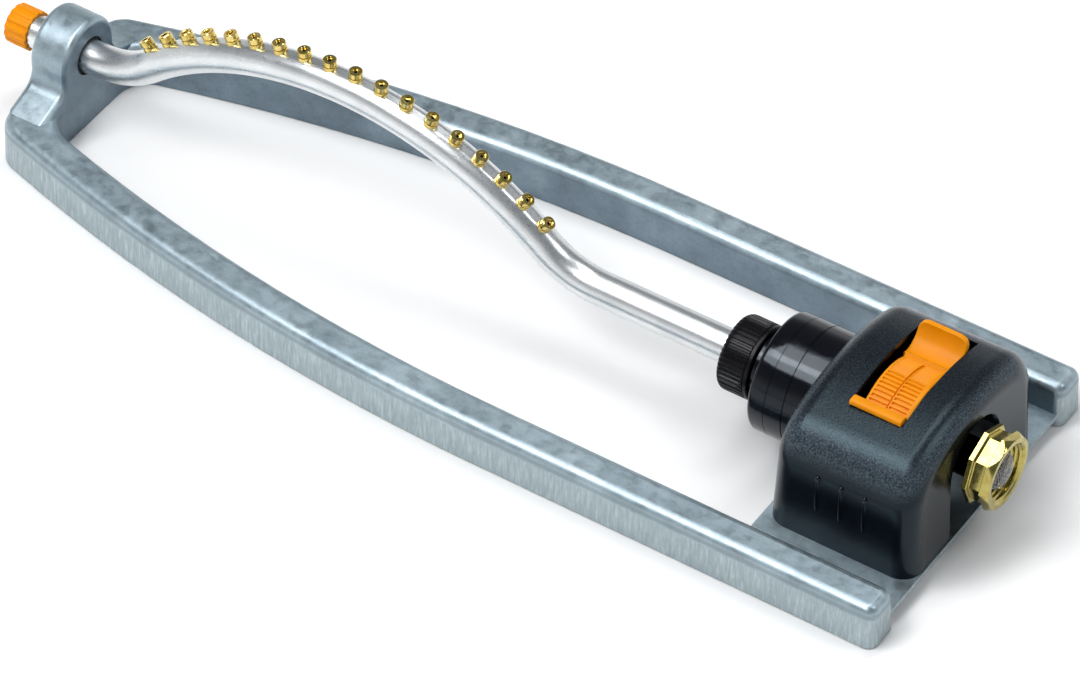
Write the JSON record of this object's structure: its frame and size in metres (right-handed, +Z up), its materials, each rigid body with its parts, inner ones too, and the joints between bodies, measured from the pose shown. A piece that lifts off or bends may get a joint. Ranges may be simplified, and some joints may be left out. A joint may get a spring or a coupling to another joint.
{
  "type": "oscillating lawn sprinkler",
  "caption": "Oscillating lawn sprinkler: arched spray tube with brass jets on a cast metal frame, turned by a geared water turbine under a cover with a hose swivel.",
  "frame": {"origin": "on the ground, under the middle of the overall length and width", "axes": "+X towards the hose inlet along the tube's turning axis, +Y across the rails, +Z up"},
  "size_m": [0.5188, 0.176, 0.1015],
  "materials": {
    "cast_metal": "tumbled casting with sanded sides",
    "tube_aluminium": "bright drawn tube",
    "brass": "polished",
    "orange_plastic": "moulded, satin",
    "black_grip": "moulded, fine ribs",
    "black_cover": "moulded, fine grain",
    "gloss_black": "moulded, polished",
    "black_bush": "moulded",
    "gear_plastic": "moulded acetal",
    "grey_plastic": "moulded",
    "steel": "plain",
    "rubber": "plain",
    "strainer_mesh": "woven wire"
  },
  "bodies": {
    "base": {"base_frame": "cast_metal", "pivot_bush": "black_bush", "casing_cap": "gloss_black", "shaft_seal": "rubber", "drive_casing": "gloss_black", "gear_axles": "steel", "gear_plate": "grey_plastic", "turbine_axle": "steel", "jet_plate": "grey_plastic", "motor_cover": "black_cover", "cover_screws": "steel", "casing_screws": "steel", "inlet_fitting": "brass", "hose_washer": "rubber", "strainer_screen": "strainer_mesh"},
    "spray_arm": {"spray_tube": "tube_aluminium", "nozzles": "brass", "end_cap": "orange_plastic", "end_cap_seal": "rubber", "tube_nut": "black_grip", "tube_seal": "rubber", "output_shaft": "gloss_black", "output_gear": "gear_plastic"},
    "second_gear": {"second_reduction_gear": "gear_plastic"},
    "first_gear": {"first_reduction_gear": "gear_plastic"},
    "turbine": {"turbine_wheel": "gear_plastic"},
    "reverser": {"reversing_lever": "grey_plastic"},
    "range_control": {"control_lever": "orange_plastic"},
    "hose_swivel": {"swivel_coupling": "brass"}
  },
  "joints": [
    {"name": "tube_sweep", "type": "hinge", "parent": "base", "child": "spray_arm", "pos_m": [0.1463, 0, 0.038], "axis": [1, 0, 0], "range_deg": [-45, 45]},
    {"name": "second_gear_spin", "type": "hinge", "parent": "base", "child": "second_gear", "pos_m": [0.1555, 0.0063, 0.04891], "axis": [1, 0, 0], "range_deg": [-150, 150]},
    {"name": "first_gear_spin", "type": "hinge", "parent": "base", "child": "first_gear", "pos_m": [0.1605, -0.0063, 0.04891], "axis": [1, 0, 0], "range_deg": [-470, 470]},
    {"name": "turbine_spin", "type": "hinge", "parent": "base", "child": "turbine", "pos_m": [0.1755, 0, 0.038], "axis": [1, 0, 0], "range_deg": [-1480, 1480]},
    {"name": "reversing_flip", "type": "hinge", "parent": "base", "child": "reverser", "pos_m": [0.1675, 0, 0.02], "axis": [-1, 0, 0], "range_deg": [0, 24]},
    {"name": "lever_turn", "type": "hinge", "parent": "base", "child": "range_control", "pos_m": [0.2105, 0, 0.038], "axis": [-1, 0, 0], "range_deg": [0, 12]},
    {"name": "swivel_spin", "type": "hinge", "parent": "base", "child": "hose_swivel", "pos_m": [0.2535, 0, 0.038], "axis": [1, 0, 0], "continuous": true}
  ],
  "couplings": [
    {"joint": "second_gear_spin", "follows": "tube_sweep", "ratio": -3.2},
    {"joint": "first_gear_spin", "follows": "tube_sweep", "ratio": 10.24},
    {"joint": "turbine_spin", "follows": "tube_sweep", "ratio": -32.768}
  ]
}
